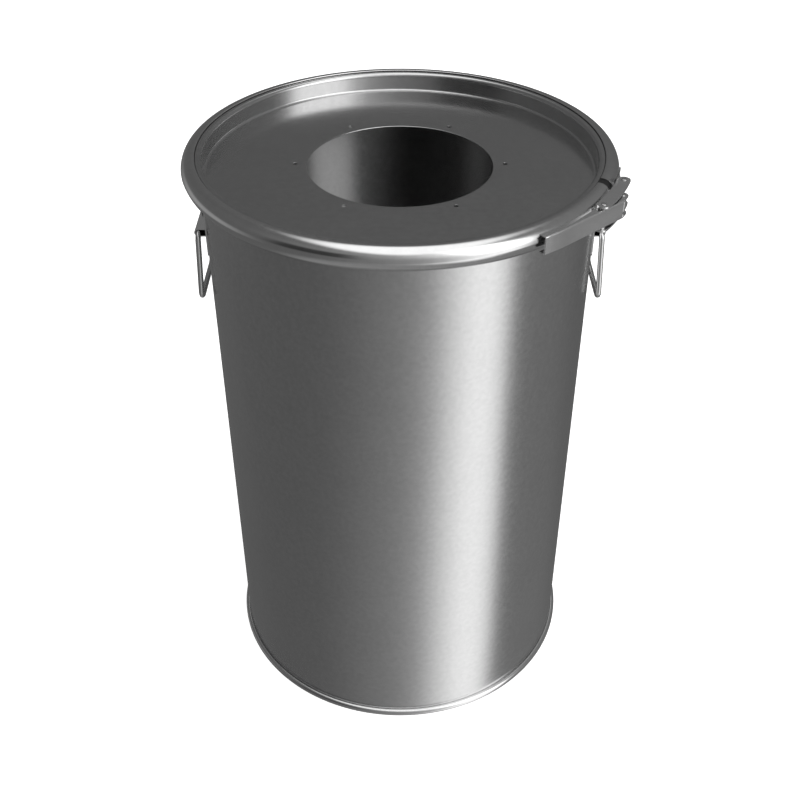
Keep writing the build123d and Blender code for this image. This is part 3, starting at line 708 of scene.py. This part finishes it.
# ---- Strap welds ----
# Short hand-laid fillets where each strap meets the ring, above and below: a rippled face from the strap
# down to the ring's arc, and a back that bites a little way into the ring.
FILLET_RIPPLE, FILLET_RIPPLE_HEIGHT, FILLET_STEPS = 1.5 * MM, 0.25 * MM, 48
FILLET_BITE, FILLET_PROUD, FILLET_LEAST = 0.15 * MM, 0.1 * MM, 0.05 * MM
for name, node in (
    ("fulcrum_strap_welds", "fulcrum_bracket_welds"),
    ("catch_strap_welds", "catch_bracket_welds"),
):
    spots = vertices(node)
    turns = np.arctan2(spots[:, 1], spots[:, 0])
    weld_rho = np.hypot(spots[:, 0], spots[:, 1]).max()
    weld_length = (turns.max() - turns.min()) * weld_rho
    runs = []
    for top in (True, False):
        level = spots[spots[:, 2] > ring_at[1], 2] if top else spots[spots[:, 2] < ring_at[1], 2]
        root, toe = (level.min(), level.max()) if top else (level.max(), level.min())
        along, across, rise = ripple_bead(weld_length, FILLET_RIPPLE_HEIGHT, FILLET_RIPPLE, FILLET_STEPS, 9)
        share = (across + 1) / 2
        height = root + (toe - root) * share
        reach = np.sqrt(np.maximum(RING_ARC ** 2 - (height - ring_at[1]) ** 2, 0))
        back = RIM_RHO + reach - FILLET_BITE
        face = weld_rho - (weld_rho - back[:, -1:]) * (1 - share) + rise
        face = np.minimum(face, weld_rho + FILLET_PROUD)
        turn = turns.min() + (turns.max() - turns.min()) * along
        front_side = wrapped(face, turn, height)
        back_side = wrapped(np.minimum(back, face - FILLET_LEAST), turn, height)[:, ::-1]
        runs.append((np.concatenate([front_side, back_side], axis=1), False, True, True))
    fit(surface(name, runs), node, weld_steel)

# ---- Pins and washers ----
# Turned stainless rivets with low domed heads, peened at both ends, and two spacing washers. Turning leaves
# them bright, with soft highlights.
PIN_RADIUS, HEAD_HEIGHT, DOME_HEIGHT, HEAD_CHAMFER = 1.9 * MM, 0.9 * MM, 0.405 * MM, 0.06 * MM
WASHER_ROUND = 0.15 * MM
pin_steel = steel("bright_turned_stainless_pin", "#C9C9C9", 0.27, blotch=2.0, blotch_depth=0.04,
                  line=0.4, line_depth=0.03, peel=1)
for name, node, body in (
    ("fulcrum_rivet", "fulcrum_pin", "drum"),
    ("lever_link_rivet", "link_lever_pin", "lever"),
    ("catch_cross_pin", "link_catch_pin", "link"),
):
    low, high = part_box(node)
    head_radius = (high.x - low.x) / 2
    dome = np.linspace(0, pi / 2, 9)
    cap = np.stack([head_radius * np.sin(dome), high.z - DOME_HEIGHT * (1 - np.cos(dome))], axis=1)
    under_head = high.z - HEAD_HEIGHT
    neck = [[head_radius, under_head + HEAD_CHAMFER], [head_radius - HEAD_CHAMFER, under_head]]
    upper = np.vstack([cap, neck, [[PIN_RADIUS, under_head]]])
    outline = np.vstack([upper, np.stack([upper[::-1, 0], low.z + high.z - upper[::-1, 1]], axis=1)])
    rivet_grid = lathe(outline, steps=40)
    rivet_grid[:, :, 0] += (low.x + high.x) / 2
    rivet_grid[:, :, 1] += (low.y + high.y) / 2
    rivet = surface(name, [(rivet_grid, True, False, False)], crease=50.0)
    fit(rivet, node, pin_steel, body)
washers = softened("spacing_washers", "link_washers", WASHER_ROUND)
fit(washers, "link_washers", pin_steel, "lever")

# ---- Handle brackets ----
# A pressed plate spot welded to each side of the body, with a hood that the bail's upper bar turns in. Its
# folds are rounder than its cut edges, and it keeps the satin of the sheet.
bracket_steel = steel("satin_pressed_stainless_bracket", "#D0D0D0", 0.22, blotch=5.0, blotch_depth=0.03,
                      line=0.9, line_depth=0.01, peel=1.5)
BRACKET_ROUND, HOOD_BEND = 0.3 * MM, 0.6 * MM
HOOD_FOOT = body_radius + 2.5 * MM
SPOT_RADIUS, SPOT_HEIGHT, SPOT_STEPS = 3.0 * MM, 0.4 * MM, 32
ROW_SHARES = ((-1, 0, 1), (-0.6, 0, 0.6))  # places across the upper and the lower row of spots
# A spot weld in section, in shares of its radius and height: a shallow crater inside a low ring, where the
# electrode pressed the sheets together. It goes a little way into the plate.
CRATER = np.array([
    [0.0, 0.12], [0.35, 0.13], [0.55, 0.2], [0.68, 0.62], [0.78, 0.98], [0.86, 0.9], [0.95, 0.45],
    [1.0, 0.05], [1.0, -0.2], [0.0, -0.2],
])


def on_hood(edge):
    """Whether an edge stands off the plate, on the outside of the hood."""
    return min(abs(corner.co.x) for corner in edge.verts) > HOOD_FOOT


for side in ("right", "left"):
    node = f"handle_bracket_{side}"
    hood = softened(f"pressed_handle_bracket_{side}", node, BRACKET_ROUND, HOOD_BEND, on_hood)
    fit(hood, node, bracket_steel)

    weld_node = f"handle_bracket_welds_{side}"
    low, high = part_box(weld_node)
    flip = 1 if side == "right" else -1
    plate_rho = max(abs(low.x), abs(high.x)) - SPOT_HEIGHT
    reach = high.y - SPOT_RADIUS
    around = np.linspace(0, 2 * pi, SPOT_STEPS, endpoint=False)[:, None]
    spots = []
    for level, shares in zip((high.z - SPOT_RADIUS, low.z + SPOT_RADIUS), ROW_SHARES):
        for share in shares:
            sideways = share * reach + SPOT_RADIUS * CRATER[:, 0] * np.cos(around)
            out_by = np.sqrt(plate_rho ** 2 - sideways ** 2) + SPOT_HEIGHT * CRATER[:, 1]
            height = level + SPOT_RADIUS * CRATER[:, 0] * np.sin(around)
            spots.append((np.stack([flip * out_by, sideways, height], axis=2), True, False, False))
    fit(surface(f"spot_welds_{side}", spots, crease=60.0), weld_node, weld_steel)

# ---- Bail handles ----
# Round wire bent to a rectangle, polished so that its highlights are thin and clear. Its ends butt inside
# the hood, and each is cut with a small chamfer. It hangs with its foot leaning out from the body.
WIRE_RADIUS, BUTT_GAP, WIRE_CHAMFER, END_FACE = 3.25 * MM, 1.0 * MM, 0.5 * MM, 0.01 * MM
TOP_BEND, BOTTOM_BEND, EVEN_FROM = 7.0 * MM, 11.0 * MM, 2.0 * MM
LEAN = 2.9  # degrees
lean_out, lean_down = sin(radians(LEAN)), cos(radians(LEAN))
wire_steel = steel("polished_drawn_wire", "#E2E2E2", 0.12, blotch=5.0, blotch_depth=0.03,
                   line=0.8, line_depth=0.02, peel=1)
joints = {joint["name"]: joint for joint in frame["joints"]}


def tube(path, radii, plane_normal, steps=28):
    """Grid of circles of given radii square to a path that lies in one plane: p + r (n cos a + b sin a)."""
    run = np.diff(path, axis=0)
    run /= np.linalg.norm(run, axis=1)[:, None]
    tangent = np.vstack([run[:1], run[:-1] + run[1:], run[-1:]])
    tangent /= np.linalg.norm(tangent, axis=1)[:, None]
    normal = np.cross(plane_normal, tangent)
    angle = np.linspace(0, 2 * pi, steps, endpoint=False)[None, :, None]
    ring = normal[:, None, :] * np.cos(angle) + np.array(plane_normal)[None, None, :] * np.sin(angle)
    return path[:, None, :] + np.asarray(radii)[:, None, None] * ring


for side in ("right", "left"):
    node = f"bail_handle_{side}"
    low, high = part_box(node)
    flip = 1 if side == "right" else -1
    pivot = joints[f"bail_{side}_swing"]["pos_m"]
    half_width = high.y - WIRE_RADIUS
    length = (pivot[2] - low.z - WIRE_RADIUS) / lean_down
    half = np.vstack([
        [[BUTT_GAP / 2, 0.0], [BUTT_GAP / 2 + END_FACE, 0.0], [BUTT_GAP / 2 + WIRE_CHAMFER, 0.0]],
        np.stack([np.linspace(EVEN_FROM, half_width - TOP_BEND, 12)[:-1], np.zeros(11)], axis=1),
        arc((half_width - TOP_BEND, -TOP_BEND), TOP_BEND, 90, 0, 12),
        np.stack([np.full(22, half_width), np.linspace(-TOP_BEND, BOTTOM_BEND - length, 24)[1:-1]], axis=1),
        arc((half_width - BOTTOM_BEND, BOTTOM_BEND - length), BOTTOM_BEND, 0, -90, 18),
        np.stack([np.linspace(half_width - BOTTOM_BEND, 0, 13)[1:], np.full(12, -length)], axis=1),
    ])
    flat_path = np.vstack([half, half[-2::-1] * [-1, 1]])
    drop = flat_path[:, 1]
    path = np.stack([pivot[0] - flip * drop * lean_out, flat_path[:, 0], pivot[2] + drop * lean_down], axis=1)
    radii = np.full(len(path), WIRE_RADIUS)
    radii[[0, -1]] = 0.0
    radii[[1, -2]] = WIRE_RADIUS - WIRE_CHAMFER
    normal = (flip * lean_down, 0.0, lean_out)
    bail = surface(f"wire_bail_{side}", [(tube(path, radii, normal), False, True, False)])
    fit(bail, node, wire_steel, f"bail_{side}")

# ---- Light inside the drum ----
# A small soft strip low inside the drum, at the right and turned to the far left wall. Only the steel inside
# sees it, as the bright band that shows through the lid's opening.
INNER_WIDTH, INNER_HEIGHT, INNER_POWER, INNER_SPREAD = 0.16, 0.46, 0.05, 110.0
INNER_PLACE, INNER_TURN = (0.185, -0.06, 0.26), 46.7
inner_strip = bpy.data.objects.new("inner_strip", bpy.data.lights.new("inner_strip", "AREA"))
inner_strip.data.shape = "RECTANGLE"
inner_strip.data.size = INNER_WIDTH
inner_strip.data.size_y = INNER_HEIGHT
inner_strip.data.energy = INNER_POWER
inner_strip.data.spread = radians(INNER_SPREAD)
inner_strip.location = INNER_PLACE
inner_strip.rotation_euler = (radians(90), 0.0, radians(INNER_TURN))
inner_strip.visible_camera = False
scene.collection.objects.link(inner_strip)
